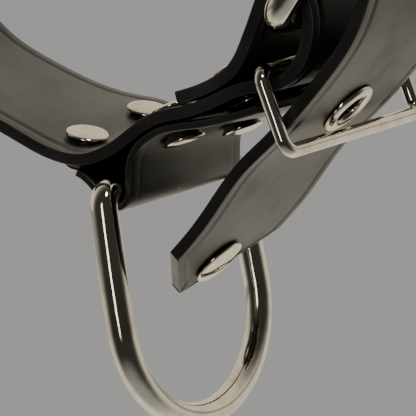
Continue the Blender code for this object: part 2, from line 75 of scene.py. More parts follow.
def natural_curve(rows: np.ndarray, step: float) -> np.ndarray:
    """Carry a smooth curve through rows of numbers, evenly sampled over the arc length.

    It is the natural cubic over the chord lengths: its slopes solve the three-band equations in which
    neighbouring cubics share their second derivative, which is zero at both ends.

    Args:
        rows: One row of numbers for each point; the first two are its place.
        step: The distance between samples.

    Returns:
        The samples, one row each.
    """
    knots = arc_length(rows[:, :2])
    spans = np.diff(knots)
    rises = np.diff(rows, axis=0) / spans[:, None]
    inverse = 1.0 / spans
    before = np.concatenate([[0.0], inverse])
    after = np.concatenate([inverse, [0.0]])
    system = np.diag(2.0 * (before + after)) + np.diag(inverse, 1) + np.diag(inverse, -1)
    pull = np.zeros_like(rows)
    pull[:-1] += 3.0 * rises * inverse[:, None]
    pull[1:] += 3.0 * rises * inverse[:, None]
    slopes = np.linalg.solve(system, pull)
    fine = np.linspace(0.0, knots[-1], int(knots[-1] / FINE_STEP))
    span = np.clip(np.searchsorted(knots, fine, side="right") - 1, 0, len(spans) - 1)
    t = ((fine - knots[span]) / spans[span])[:, None]
    width = spans[span][:, None]
    curve = ((2 * t**3 - 3 * t**2 + 1) * rows[span] + (t**3 - 2 * t**2 + t) * width * slopes[span]
             + (3 * t**2 - 2 * t**3) * rows[span + 1] + (t**3 - t**2) * width * slopes[span + 1])
    length = arc_length(curve[:, :2])
    even = np.linspace(0.0, length[-1], max(4, int(round(length[-1] / step))))
    return np.stack([np.interp(even, length, column) for column in curve.T], axis=1)


def arc_length(points: np.ndarray) -> np.ndarray:
    """Add up the distances between neighbouring points.

    Args:
        points: One row for each point.

    Returns:
        The length from the first point to each point.
    """
    return np.concatenate([[0.0], np.cumsum(np.linalg.norm(np.diff(points, axis=0), axis=1))])


def unit(vectors: np.ndarray) -> np.ndarray:
    """Scale each row to length one."""
    return vectors / np.linalg.norm(vectors, axis=-1, keepdims=True)


def loop_faces(rows: int, columns: int, closed: bool) -> np.ndarray:
    """Number the corners of the quads that join neighbouring rows of a grid, whose columns close up.

    Args:
        rows: How many rings the grid has.
        columns: How many points each ring has.
        closed: Whether the last ring is joined to the first.

    Returns:
        Four corner numbers for each quad.
    """
    i = np.arange(rows if closed else rows - 1)[:, None]
    j = np.arange(columns)[None, :]
    here, there = i * columns, (i + 1) % rows * columns
    turn = (j + 1) % columns
    return np.stack([here + j, here + turn, there + turn, there + j], axis=-1).reshape(-1, 4)


def make_piece(name: str, points: np.ndarray, faces: list,
               around: np.ndarray | None = None) -> bpy.types.Object:
    """Put points and faces into a mesh object at the origin.

    Args:
        name: The object's name.
        points: One row of coordinates for each vertex.
        faces: The corner numbers of each face.
        around: Two map coordinates for each vertex, or None.

    Returns:
        The object, linked to the scene.
    """
    mesh = bpy.data.meshes.new(name)
    mesh.from_pydata(points.tolist(), [], [list(map(int, face)) for face in faces])
    if around is not None:
        layer = mesh.uv_layers.new(name="lay")
        corner = np.empty(len(mesh.loops), dtype=np.int32)
        mesh.loops.foreach_get("vertex_index", corner)
        layer.data.foreach_set("uv", around[corner].astype(np.float32).ravel())
    mesh.validate()
    piece = bpy.data.objects.new(name, mesh)
    bpy.context.collection.objects.link(piece)
    return piece


def smooth(piece: bpy.types.Object, angle: float) -> None:
    """Shade a piece smooth, with sharp edges where its faces meet at more than an angle.

    Args:
        piece: The object to shade.
        angle: The angle in degrees.
    """
    piece.data.shade_smooth()
    piece.data.set_sharp_from_angle(angle=radians(angle))


def finish_piece(piece: bpy.types.Object, material: bpy.types.Material, body: str,
                 node: str) -> None:
    """Dress a piece, make it ride on a body and let it stand for its solid.

    Args:
        piece: The finished object.
        material: Its material.
        body: The body that it rides on.
        node: The solid that it stands for.
    """
    piece.data.materials.clear()
    piece.data.materials.append(material)
    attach(piece, body)
    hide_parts(node)
    LOG.info("%s: %d faces", piece.name, len(piece.data.polygons))


def cut_holes(piece: bpy.types.Object, tools: list) -> None:
    """Subtract solids from a piece for good and remove them.

    Args:
        piece: The object that gets the holes.
        tools: The objects that are taken out of it.
    """
    for tool in tools:
        change = piece.modifiers.new(tool.name, "BOOLEAN")
        change.operation = "DIFFERENCE"
        change.solver = "EXACT"
        change.object = tool
    seen = piece.evaluated_get(bpy.context.evaluated_depsgraph_get())
    mesh = bpy.data.meshes.new_from_object(seen)
    piece.modifiers.clear()
    piece.data = mesh
    for tool in tools:
        bpy.data.objects.remove(tool, do_unlink=True)


@dataclass(frozen=True)
class Value:
    """A number of a shader that differs from place to place, with the usual sums."""

    graph: "Graph"
    socket: bpy.types.NodeSocket

    def _sum(self, operation: str, first: Any, second: Any) -> "Value":
        """Add the Math node of one operation on two values."""
        node = self.graph.node("ShaderNodeMath", {"operation": operation}, {0: first, 1: second})
        return Value(self.graph, node.outputs[0])

    def __add__(self, other: Any) -> "Value":
        """Add a value or number."""
        return self._sum("ADD", self, other)

    __radd__ = __add__

    def __mul__(self, other: Any) -> "Value":
        """Multiply by a value or number."""
        return self._sum("MULTIPLY", self, other)

    __rmul__ = __mul__

    def __sub__(self, other: Any) -> "Value":
        """Take a value or number away."""
        return self._sum("SUBTRACT", self, other)

    def __rsub__(self, other: Any) -> "Value":
        """Take this value away from another."""
        return self._sum("SUBTRACT", other, self)


@dataclass
class Graph:
    """The nodes of one material or of the world, which are switched on."""

    holder: bpy.types.Material | bpy.types.World
    tree: bpy.types.NodeTree = field(init=False)

    def __post_init__(self) -> None:
        """Switch the nodes on."""
        self.holder.use_nodes = True
        self.tree = self.holder.node_tree

    def node(self, kind: str, settings: dict | None = None,
             sockets: dict | None = None) -> bpy.types.Node:
        """Add a node.

        Args:
            kind: The node's type.
            settings: Its settings, such as a Math node's operation.
            sockets: Values, links or numbers for its inputs, by name or number.

        Returns:
            The node.
        """
        node = self.tree.nodes.new(kind)
        for name, setting in (settings or {}).items():
            setattr(node, name, setting)
        for name, value in (sockets or {}).items():
            self.feed(node.inputs[name], value)
        return node

    def feed(self, socket: bpy.types.NodeSocket, value: Any) -> None:
        """Link a value or another node's output to an input, or set the input to a number or colour.

        Args:
            socket: The input.
            value: What it gets.
        """
        if isinstance(value, Value):
            value = value.socket
        if isinstance(value, bpy.types.NodeSocket):
            self.tree.links.new(value, socket)
        else:
            socket.default_value = value

    def coordinates(self, source: str = "Object") -> bpy.types.NodeSocket:
        """Find the place on the piece, or a direction where the source is Generated in the world."""
        return self.node("ShaderNodeTexCoord").outputs[source]

    def stretched(self, source: str, scale: tuple) -> bpy.types.NodeSocket:
        """Scale coordinates by three factors."""
        sockets = {"Vector": self.coordinates(source), "Scale": scale}
        return self.node("ShaderNodeMapping", {}, sockets).outputs[0]

    def noise(self, where: bpy.types.NodeSocket, scale: float, detail: float = 3.0,
              rough: float = 0.5) -> Value:
        """Add clouds of a scale per metre, from zero to one."""
        sockets = {"Vector": where, "Scale": scale, "Detail": detail, "Roughness": rough}
        return Value(self, self.node("ShaderNodeTexNoise", {}, sockets).outputs["Fac"])

    def blend(self, share: Value, low: tuple, high: tuple) -> bpy.types.NodeSocket:
        """Mix two colours by a value. A colour mix has its colours at inputs 6 and 7 and its result at 2."""
        sockets = {"Factor": share, 6: low, 7: high}
        return self.node("ShaderNodeMix", {"data_type": "RGBA"}, sockets).outputs[2]

    def ramp(self, share: Value, low: float, high: float) -> Value:
        """Stretch the part of a value between two edges to run from zero to one.

        Args:
            share: The value.
            low: Where it becomes zero.
            high: Where it becomes one.

        Returns:
            The stretched value.
        """
        sockets = {"Value": share, "From Min": low, "From Max": high}
        node = self.node("ShaderNodeMapRange", {"interpolation_type": "SMOOTHSTEP"}, sockets)
        return Value(self, node.outputs[0])

    def bump(self, height: Value, distance: float, strength: float = 1.0) -> bpy.types.NodeSocket:
        """Turn a height into a bent normal."""
        sockets = {"Height": height, "Distance": distance, "Strength": strength}
        return self.node("ShaderNodeBump", {}, sockets).outputs[0]

    def output(self, kind: str, sockets: dict) -> None:
        """Set or link the inputs of the main node, which a new material or world already has.

        Args:
            kind: The node's name.
            sockets: What each named input gets.
        """
        for name, value in sockets.items():
            self.feed(self.tree.nodes[kind].inputs[name], value)


@dataclass(frozen=True)
class RubberFinish:
    """Black latex sheet: satin, faintly clouded by handling, with drawn streaks along its length."""

    name: str = "black latex"
    deep: tuple = (0.0070, 0.0070, 0.0072, 1.0)
    dusty: tuple = (0.020, 0.0185, 0.0165, 1.0)
    roughness: float = 0.38
    ior: float = 1.52
    coat: float = 0.06
    coat_roughness: float = 0.22
    relief: float = 0.05 * MM

    def material(self) -> bpy.types.Material:
        """Build the material.

        Returns:
            The material.
        """
        graph = Graph(bpy.data.materials.new(self.name))
        place = graph.coordinates()
        clouds = graph.noise(place, 42.0, 4.0, 0.55)
        smudge = graph.ramp(graph.noise(place, 95.0, 5.0, 0.6), 0.45, 0.75)
        streaks = graph.noise(graph.stretched("UV", (1.6, 60.0, 1.0)), 9.0, 3.0, 0.6)
        pores = graph.noise(place, 2600.0, 2.0, 0.5)
        dirt = graph.ramp(clouds, 0.35, 0.75) * 0.65 + smudge * 0.35
        rough = self.roughness + (clouds - 0.5) * 0.22 + smudge * 0.08 + (streaks - 0.5) * 0.10
        height = pores * 0.35 + streaks * 0.9 + clouds * 1.2
        graph.output("Principled BSDF", {
            "IOR": self.ior, "Coat Weight": self.coat, "Coat Roughness": self.coat_roughness,
            "Base Color": graph.blend(dirt, self.deep, self.dusty), "Roughness": rough,
            "Normal": graph.bump(height, self.relief, 0.5)})
        return graph.holder


@dataclass(frozen=True)
class NickelFinish:
    """Polished nickel plate, a little warm, with fine scratches and a haze in places."""

    name: str = "polished nickel"
    bright: tuple = (0.76, 0.70, 0.58, 1.0)
    tarnished: tuple = (0.52, 0.46, 0.36, 1.0)
    roughness: float = 0.05
    ior: float = 1.8
    relief: float = 0.08 * MM

    def material(self) -> bpy.types.Material:
        """Build the material.

        Returns:
            The material.
        """
        graph = Graph(bpy.data.materials.new(self.name))
        place = graph.coordinates()
        haze = graph.ramp(graph.noise(place, 120.0, 4.0, 0.6), 0.42, 0.78)
        scratches = graph.noise(graph.stretched("Object", (1.0, 1.0, 14.0)), 900.0, 2.0, 0.7)
        waves = graph.noise(place, 260.0, 2.0, 0.5)
        rough = self.roughness + haze * 0.07 + graph.ramp(scratches, 0.55, 0.8) * 0.05
        graph.output("Principled BSDF", {
            "Metallic": 1.0, "IOR": self.ior, "Base Color": graph.blend(haze, self.bright, self.tarnished),
            "Roughness": rough, "Normal": graph.bump(waves + scratches * 0.12, self.relief, 0.6)})
        return graph.holder


@dataclass
class Band:
    """A strip of rubber carried along a middle line, with round edges and a pressed line inside each edge."""

    thickness: float
    corner: float = 0.24 * MM
    line_inset: float = 3.3 * MM
    line_width: float = 1.1 * MM
    line_depth: float = 0.34 * MM
    bevel: float = 0.12 * MM
    rounding: int = 4
    edge_samples: tuple = (0.6 * MM, 1.0 * MM, 1.4 * MM)
    flat_start: float = 2.2 * MM

    def frames(self, line: np.ndarray, width: float) -> tuple:
        """Work out the middle, along, across and out directions at each sample of a middle line.

        Across is the unit of (0, width, lift) less its part along the line; out is along times across.

        Args:
            line: Rows of x, z and lift.
            width: The band's width.

        Returns:
            Four arrays with a row for each sample.
        """
        middle = np.stack([line[:, 0], np.zeros(len(line)), line[:, 1]], axis=1)
        along = unit(np.gradient(middle, axis=0))
        across = np.stack([np.zeros(len(line)), np.full(len(line), width), line[:, 2]], axis=1)
        across = unit(across - along * np.sum(across * along, axis=1, keepdims=True))
        return middle, along, across, unit(np.cross(along, across))

    def section(self) -> tuple:
        """Draw the upper half of the section, from the near edge to the far one.

        A point lies at near + inset, at far - inset, or a share of the way between, and its height is half
        the thickness less a quarter circle at the corners, less a bell-shaped groove at the pressed line and
        less a shallow round from that line to the edge.

        Returns:
            The share of the width, the inset and the height of each point.
        """
        turn = np.linspace(0.0, 1.0, self.rounding + 1) * np.pi / 2
        half = self.thickness / 2
        radius = min(self.corner, half * 0.9)
        inset = np.concatenate([radius * (1 - np.cos(turn)), self.edge_samples,
                                self.line_inset + self.line_width * np.linspace(-1.4, 1.6, 9),
                                [self.line_inset + self.flat_start]])
        height = np.full(len(inset), half)
        height[: len(turn)] = half - radius * (1 - np.sin(turn))
        bell = np.exp(-(((inset - self.line_inset) / (self.line_width * 0.6)) ** 2))
        height -= self.line_depth * bell * (inset > self.edge_samples[1])
        height -= self.bevel * (1 - inset / self.line_inset).clip(0.0, 1.0) ** 2
        inner = np.linspace(0.0, 1.0, 16)[1:-1]
        edge = inset[-1]
        share = np.concatenate([np.zeros(len(inset)), inner, np.ones(len(inset))])
        reach = np.concatenate([inset, edge * (1 - 2 * inner), -inset[::-1]])
        return share, reach, np.concatenate([height, np.full(len(inner), half), height[::-1]])

    def build(self, name: str, line: np.ndarray, near: np.ndarray, far: np.ndarray,
              width: float) -> bpy.types.Object:
        """Carry the section along the middle line, round its two ends and close them.

        Args:
            name: The piece's name.
            line: Rows of x, z and lift, evenly spaced.
            near: The near edge's place across the band at each sample.
            far: The far edge's place across the band at each sample.
            width: The width for which the lift is given.

        Returns:
            The piece.
        """
        middle, along, across, out = self.frames(line, width)
        share, reach, height = self.section()
        share, reach = np.concatenate([share, share[::-1]]), np.concatenate([reach, reach[::-1]])
        height = np.concatenate([height, -height[::-1]])
        spare = np.minimum(1.0, (far - near) / (4.4 * self.line_inset))[:, None]
        place = near[:, None] * (1 - share) + far[:, None] * share + reach * spare
        lift = np.broadcast_to(height, place.shape)
        rings = middle[:, None] + across[:, None] * place[..., None] + out[:, None] * lift[..., None]
        length = arc_length(line[:, :2])
        start = self._round_end(rings[0], -along[0])
        stop = self._round_end(rings[-1], along[-1])[::-1]
        rings = np.concatenate([start, rings[1:-1], stop])
        rows, columns = rings.shape[:2]
        along_map = np.concatenate([np.full(len(start), 0.0), length[1:-1], np.full(len(stop), length[-1])])
        across_map = near.mean() * (1 - share) + far.mean() * share + reach
        around = np.stack(np.broadcast_arrays(along_map[:, None] * 10, across_map[None, :] * 10), axis=-1)
        faces = loop_faces(rows, columns, False)
        half = columns // 2
        k = np.arange(half - 1)
        lid = np.stack([k, k + 1, columns - 2 - k, columns - 1 - k], axis=-1)
        faces = np.concatenate([faces, lid[:, ::-1], lid + (rows - 1) * columns])
        piece = make_piece(name, rings.reshape(-1, 3), faces, around.reshape(-1, 2))
        point_outwards(piece)
        smooth(piece, 40.0)
        return piece

    def _round_end(self, ring: np.ndarray, outward: np.ndarray) -> np.ndarray:
        """Shrink an end ring in three steps towards its middle line, so that the end has round edges.

        A point moves towards the middle as one less the cosine of the turn and back from the end as one
        less its sine.

        Args:
            ring: The end's points.
            outward: The direction out of the end.

        Returns:
            The rings, from the shrunken one to the full one.
        """
        centre = (ring + ring[::-1]) / 2
        radius = min(self.corner, self.thickness * 0.4)
        turn = np.linspace(0.0, np.pi / 2, 4)[::-1]
        flat = 2.0 * radius / self.thickness
        return np.stack([ring + (centre - ring) * flat * (1 - np.cos(a)) - outward * radius * (1 - np.sin(a))
                         for a in turn])


def point_outwards(piece: bpy.types.Object) -> None:
    """Flip a closed piece whose faces point inwards.

    The sum over the faces of centre times area normal is three times the volume, so its sign tells.

    Args:
        piece: The object.
    """
    mesh = piece.data
    centre = np.empty(len(mesh.polygons) * 3, dtype=np.float64)
    normal = np.empty_like(centre)
    area = np.empty(len(mesh.polygons), dtype=np.float64)
    mesh.polygons.foreach_get("center", centre)
    mesh.polygons.foreach_get("normal", normal)
    mesh.polygons.foreach_get("area", area)
    if np.sum(centre.reshape(-1, 3) * normal.reshape(-1, 3) * area[:, None]) < 0:
        mesh.flip_normals()


def drum(name: str, middle: np.ndarray, axis: np.ndarray, radius: float, half: float,
         sides: int = 48) -> bpy.types.Object:
    """Build a plain round solid that cuts a hole.

    Args:
        name: Its name.
        middle: Its centre.
        axis: Its axis.
        radius: Its radius.
        half: Half its length.
        sides: How many corners it has.

    Returns:
        The object.
    """
    rim = Lathe.spin(np.array([[radius, -half], [radius, half]]), middle, axis, sides)
    faces = loop_faces(2, sides, False).tolist() + [list(range(sides))[::-1], list(range(sides, 2 * sides))]
    piece = make_piece(name, rim.reshape(-1, 3), faces)
    point_outwards(piece)
    return piece


@dataclass
class Lathe:
    """Solids of revolution."""

    sides: int = 64

    @staticmethod
    def spin(profile: np.ndarray, origin: np.ndarray, axis: np.ndarray, sides: int) -> np.ndarray:
        """Turn (radius, height) pairs round an axis.

        A point is origin + axis height + radius (u cos a + v sin a), with u and v square to the axis.

        Args:
            profile: Rows of radius and height.
            origin: The foot of the axis.
            axis: Its direction.
            sides: How many points a full turn has.

        Returns:
            A grid of points, one row for each pair.
        """
        axis = unit(np.asarray(axis, float))
        first = unit(np.cross(axis, [0.31, 0.17, 0.93] if abs(axis[2]) < 0.9 else [0.0, 1.0, 0.0]))
        second = np.cross(axis, first)
        angle = np.arange(sides) * tau / sides + 0.05
        ring = first * np.cos(angle)[:, None] + second * np.sin(angle)[:, None]
        return origin + axis * profile[:, 1, None, None] + ring * profile[:, 0, None, None]

    def build(self, name: str, profile: np.ndarray, origin: np.ndarray, axis: np.ndarray,
              hollow: bool) -> bpy.types.Object:
        """Make a turned piece.

        Args:
            name: Its name.
            profile: Rows of radius and height; a hollow one closes on itself, another ends near the axis.
            origin: The foot of the axis.
            axis: Its direction.
            hollow: Whether the profile closes on itself.

        Returns:
            The piece.
        """
        rings = self.spin(profile, origin, axis, self.sides)
        rows = len(profile)
        points = rings.reshape(-1, 3)
        faces = loop_faces(rows, self.sides, hollow).tolist()
        if not hollow:
            foot, top = rings[0].mean(axis=0), rings[-1].mean(axis=0)
            points = np.concatenate([points, [foot, top]])
            k = np.arange(self.sides)
            turn = (k + 1) % self.sides
            last = (rows - 1) * self.sides
            for pole, first, second in ((len(points) - 2, turn, k), (len(points) - 1, last + k, last + turn)):
                faces += np.stack([np.full(self.sides, pole), first, second], axis=-1).tolist()
        piece = make_piece(name, points, faces)
        point_outwards(piece)
        smooth(piece, 50.0)
        return piece


@dataclass
class Wire:
    """Round wire carried along a path."""

    radius: float
    sides: int = 28

    def build(self, name: str, path: np.ndarray, hint: tuple, closed: bool) -> bpy.types.Object:
        """Carry a circle along a flat path.

        A point is path + radius (side cos a + hint sin a), where side is along times hint. Open ends
        are rounded by rings that shrink as a quarter circle.

        Args:
            name: The piece's name.
            path: Rows of coordinates.
            hint: The normal of the path's plane.
            closed: Whether the last point joins the first.

        Returns:
            The piece.
        """
        hint_row = unit(np.asarray(hint, float))
        if closed:
            along = unit(np.roll(path, -1, axis=0) - np.roll(path, 1, axis=0))
            size = np.full(len(path), self.radius)
        else:
            along = unit(np.gradient(path, axis=0))
            turn = np.linspace(0.0, np.pi / 2, 7)[:-1]
            ends = self.radius * 0.7
            head = path[0] + along[0] * (ends * np.sin(turn))[:, None]
            tail = path[-1] - along[-1] * (ends * np.sin(turn[::-1]))[:, None]
            shrink = self.radius * np.sqrt(1 - (1 - np.sin(turn)) ** 2 * 0.999)
            length = arc_length(path)
            inner = (length > ends) & (length < length[-1] - ends)
            size = np.concatenate([shrink, np.full(inner.sum(), self.radius), shrink[::-1]])
            steps = len(turn)
            along = np.concatenate([np.repeat(along[:1], steps, 0), along[inner],
                                    np.repeat(along[-1:], steps, 0)])
            path = np.concatenate([head, path[inner], tail])
        side = unit(np.cross(along, hint_row))
        angle = np.arange(self.sides) * tau / self.sides
        ring = side[:, None, :] * np.cos(angle)[:, None] + hint_row * np.sin(angle)[:, None]
        rings = path[:, None, :] + ring * size[:, None, None]
        faces = loop_faces(len(path), self.sides, closed).tolist()
        if not closed:
            last = (len(path) - 1) * self.sides
            faces += [list(range(self.sides))[::-1], list(range(last, last + self.sides))]
        piece = make_piece(name, rings.reshape(-1, 3), faces)
        point_outwards(piece)
        smooth(piece, 60.0)
        return piece


@dataclass
class Strap:
    """The belt's strap, from its folded-back end to its pointed tail."""

    width: float = 46.0 * MM
    thickness: float = 2.8 * MM
    tail_near: float = 16.0 * MM
    tail_far: float = 14.0 * MM
    tail_point: float = -5.0 * MM
    tail_tip: float = 1.5 * MM
    sample: float = 1.6 * MM
    route: tuple = (
        Station(20.0, 15.95, -2.2), Station(25.6, 16.85, -1.9), Station(30.4, 18.4, -1.5),
        Station(33.8, 20.3, -1.0), Station(36.4, 22.95, -0.5), Station(38.6, 26.2), Station(41.0, 29.8),
        Station(43.0, 33.0), Station(45.3, 35.9), Station(48.4, 37.1), Station(51.4, 35.8),
        Station(53.1, 32.6), Station(53.4, 28.6), Station(52.3, 24.4), Station(50.1, 20.7),
        Station(46.9, 18.0), Station(42.9, 16.7), Station(38.5, 16.7, -0.4), Station(34.5, 16.3, -0.8),
        Station(30.2, 15.05, -1.3), Station(25.2, 13.6, -1.8), Station(19.8, 12.8, -2.2),
        Station(13.9, 12.35, -2.2), Station(8.9, 11.15, -1.2), Station(3.2, 9.25, 0.4),
        Station(-2.5, 8.4, 2.2), Station(-6.5, 8.7, 3.6), Station(-10.5, 9.9, 4.6),
        Station(-15.3, 12.05, 4.7), Station(-20.2, 14.3, 3.0), Station(-26.6, 17.5, 1.0),
        Station(-35.4, 22.5), Station(-44.2, 28.0), Station(-51.6, 33.6), Station(-57.0, 39.6),
        Station(-71.0, 59.0), Station(-87.0, 88.0), Station(-99.0, 121.0), Station(-105.0, 157.0),
        Station(-101.0, 196.0), Station(-86.0, 232.0), Station(-59.0, 261.0), Station(-25.0, 278.5),
        Station(11.0, 284.0), Station(46.0, 277.0), Station(77.0, 257.0), Station(99.0, 227.0),
        Station(108.0, 191.0), Station(106.0, 154.0), Station(96.5, 121.0), Station(84.5, 93.0),
        Station(75.5, 71.5), Station(72.1, 60.5), Station(70.9, 48.0), Station(69.3, 38.2),
        Station(65.9, 30.0), Station(61.3, 23.2), Station(55.2, 17.4), Station(45.6, 9.8),
        Station(39.6, 5.6), Station(32.2, 0.9), Station(25.9, -4.5), Station(19.2, -10.6),
        Station(12.1, -16.0), Station(-0.3, -25.2),
    )
    line: np.ndarray = field(init=False)
    length: np.ndarray = field(init=False)

    def __post_init__(self) -> None:
        """Lay out the middle line in the solids' frame."""
        rows = np.array(self.route) * MM
        self.line = natural_curve(rows, self.sample)
        self.length = arc_length(self.line[:, :2])

    def mark(self, x: float, z: float, low: float = 0.0, high: float = 10.0) -> float:
        """Find the arc length nearest to a point, between two arc lengths.

        Args:
            x: The point's place along X from the bar, in millimetres.
            z: Its height above the bar, in millimetres.
            low: Where the search starts.
            high: Where it ends.

        Returns:
            The arc length.
        """
        fine = np.arange(low, min(high, self.length[-1]), SEARCH_STEP)
        gap = np.hypot(np.interp(fine, self.length, self.line[:, 0]) - x * MM,
                       np.interp(fine, self.length, self.line[:, 1]) - z * MM)
        return float(fine[np.argmin(gap)])

    def frame_at(self, s: float) -> tuple:
        """Work out the middle, along, across and out directions at one arc length, in the solids' frame.

        Args:
            s: The arc length.

        Returns:
            Four rows of coordinates.
        """
        around = np.array([s - 0.6 * MM, s, s + 0.6 * MM]).clip(0.0, self.length[-1])
        rows = np.stack([np.interp(around, self.length, column) for column in self.line.T], axis=1)
        middle, along, across, out = Band(self.thickness).frames(rows, self.width)
        return middle[1] + BAR, along[1], across[1], out[1]

    def build(self) -> bpy.types.Object:
        """Build the strap without its holes.

        Returns:
            The piece.
        """
        s, half = self.length, self.width / 2
        near_share = ((s - s[-1] + self.tail_near) / self.tail_near).clip(0.0, 1.0)
        far_share = ((s - s[-1] + self.tail_far) / self.tail_far).clip(0.0, 1.0)
        near = -half + (half + self.tail_point) * near_share
        far = half - (half - self.tail_point - self.tail_tip) * far_share
        line = self.line + np.array([BAR[0], BAR[2], 0.0])
        return Band(self.thickness).build("latex_strap", line, near, far, self.width)


@dataclass
class Saddle:
    """The short rubber band that holds the D-ring's bar under the strap.

    The span holds the two stations of the strap between which it lies, each with the arc lengths between
    which the station is looked for.
    """

    strap: Strap
    thickness: float = 1.8 * MM
    gap: float = 0.5 * MM
    wire: float = 6.0 * MM
    span: tuple = ((38.5, 16.7, 0.05, 0.13), (-35.4, 22.5, 0.1, 0.25))
    left_ends: tuple = (-18.6, -9.0)
    right_ends: tuple = (10.5, 16.5)
    tab_half: float = 17.5 * MM
    tab_end: tuple = (-9.0, 5.0)
    tab_lead: float = 1.0 * MM
    widening: float = 2.5 * MM
    lead: tuple = (Station(-7.3, 5.1, 3.6), Station(-5.4, 2.5, 1.9))
    away: tuple = (Station(4.7, 2.4), Station(5.8, 5.3, -0.2), Station(7.7, 7.3, -0.9))
    free: tuple = (Station(21.7, 9.9, -2.1), Station(25.9, 10.05, -1.9), Station(29.6, 10.5, -1.6),
                   Station(34.5, 11.3, -0.9), Station(38.7, 12.1, -0.5))
    sample: float = 0.8 * MM

    def middle_line(self) -> np.ndarray:
        """Follow the strap's underside, turn round the bar, follow it again and leave it to the free end.

        Returns:
            Rows of x, z and lift, from the D-ring's bar.
        """
        drop = self.strap.thickness / 2 + self.gap + self.thickness / 2
        low, high = (self.strap.mark(*spot) for spot in self.span)
        window = (self.strap.length >= low) & (self.strap.length <= high)

        def under(x: float) -> list:
            """Find the place a drop below the strap's middle line.

            Args:
                x: Its place along X from the bar, in millimetres.

            Returns:
                Its x, z and lift.
            """
            s = np.interp(-x * MM, -self.strap.line[window, 0], self.strap.length[window])
            middle, _, _, out = self.strap.frame_at(float(s))
            flat = unit(out * [1.0, 0.0, 1.0])
            point = middle - BAR + flat * drop
            return [point[0], point[2], float(np.interp(s, self.strap.length, self.strap.line[:, 2]))]

        left = [under(x) for x in np.linspace(*self.left_ends, 6)]
        right = [under(x) for x in np.linspace(*self.right_ends, 4)]
        wrap = self.wire / 2 + GAP + self.thickness / 2
        turn = np.radians([180, 225, 270, 315, 360])
        bottom = np.stack([wrap * np.cos(turn), wrap * np.sin(turn), np.zeros(5)], axis=1)
        lead, away, free = (np.array(rows) * MM for rows in (self.lead, self.away, self.free))
        return natural_curve(np.concatenate([left, lead, bottom, away, right, free]), self.sample)

    def build(self) -> bpy.types.Object:
        """Build the saddle, narrower where its left tab is riveted.

        Returns:
            The piece.
        """
        line = self.middle_line()
        s = arc_length(line[:, :2])
        first = line[: len(line) // 2]
        away = np.hypot(first[:, 0] - self.tab_end[0] * MM, first[:, 1] - self.tab_end[1] * MM)
        share = ((s - s[np.argmin(away)] + self.tab_lead) / self.widening).clip(0.0, 1.0)
        reach = self.tab_half + (self.strap.width / 2 - self.tab_half) * (share * share * (3 - 2 * share))
        band = Band(self.thickness, corner=0.35 * MM, line_depth=0.05 * MM)
        line = line + np.array([BAR[0], BAR[2], 0.0])
        return band.build("latex_saddle", line, -reach, reach, self.strap.width)


@dataclass(frozen=True)
class CapRow:
    """Two rivets side by side across the strap: where they sit and how their caps meet the rubber.

    The place is in millimetres from the bar, and the window of arc lengths holds no other point as near. The
    seats are how far the inner and the outer cap stand off, and the sinks how far their skirts reach back.
    """

    x: float
    z: float
    window: tuple
    shift: float
    seats: tuple
    sinks: tuple


